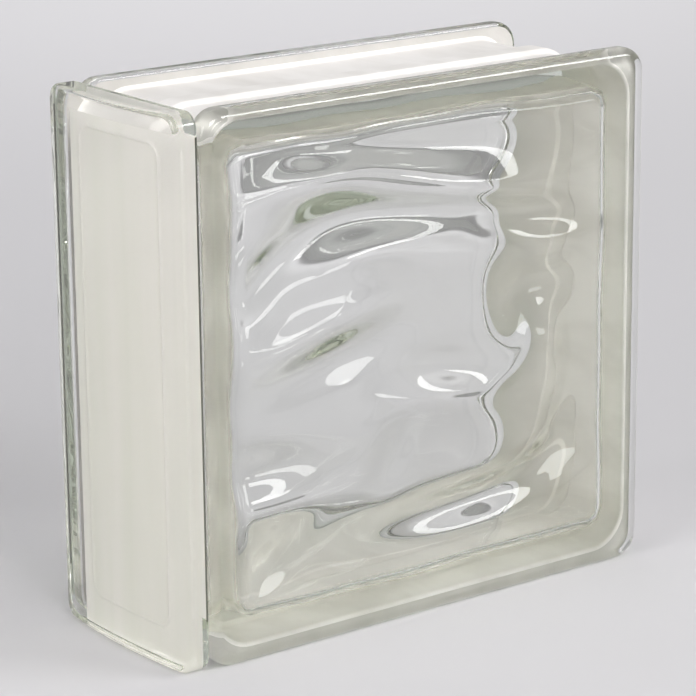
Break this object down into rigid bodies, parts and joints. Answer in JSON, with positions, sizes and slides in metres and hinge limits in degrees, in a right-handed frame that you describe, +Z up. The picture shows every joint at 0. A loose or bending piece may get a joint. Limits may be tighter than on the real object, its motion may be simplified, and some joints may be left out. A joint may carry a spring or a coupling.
{
  "type": "glass block",
  "caption": "hollow pressed-glass building block with wavy inner faces, mortar channels round its edges and a clear crowned finishing plate on one end",
  "frame": {"origin": "middle of the footprint, on the floor that the block stands on", "axes": "+X along the block away from its finished end, +Y from the front face to the back face, +Z up"},
  "size_m": [0.202, 0.08, 0.19],
  "materials": {
    "block_glass": "polished",
    "plate_glass": "polished"
  },
  "bodies": {
    "root": {"glass_block": "block_glass", "end_plate": "plate_glass"}
  },
  "joints": []
}
